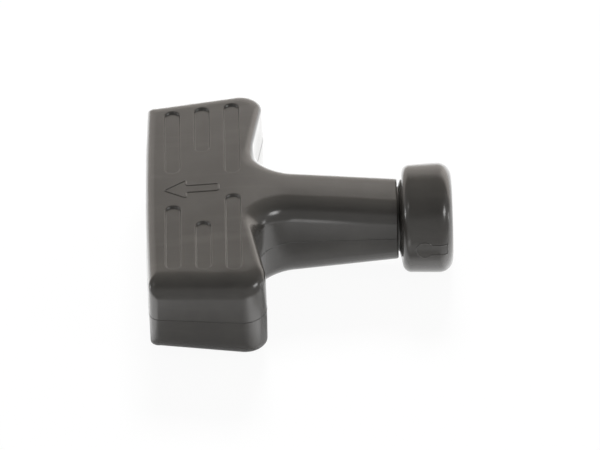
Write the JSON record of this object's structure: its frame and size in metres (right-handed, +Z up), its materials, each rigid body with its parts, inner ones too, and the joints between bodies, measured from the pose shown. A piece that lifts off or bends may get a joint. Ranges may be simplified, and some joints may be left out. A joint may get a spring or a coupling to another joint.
{
  "type": "recoil starter handle",
  "caption": "T-shaped black plastic pull handle for a recoil starter: rounded crossbar grip with recessed slots, tapering stem and a round collar with a rope hole.",
  "frame": {"origin": "middle of the handle's outline seen from above, on the level of the collar's lowest point", "axes": "+X along the rope line from the palm face to the collar's rim, +Y along the crossbar, +Z up with the handle lying on its broad face"},
  "size_m": [0.1035, 0.1094, 0.0371],
  "materials": {
    "black_plastic": "satin black moulded plastic with a fine matt grain"
  },
  "bodies": {
    "root": {"handle": "black_plastic"}
  },
  "joints": []
}
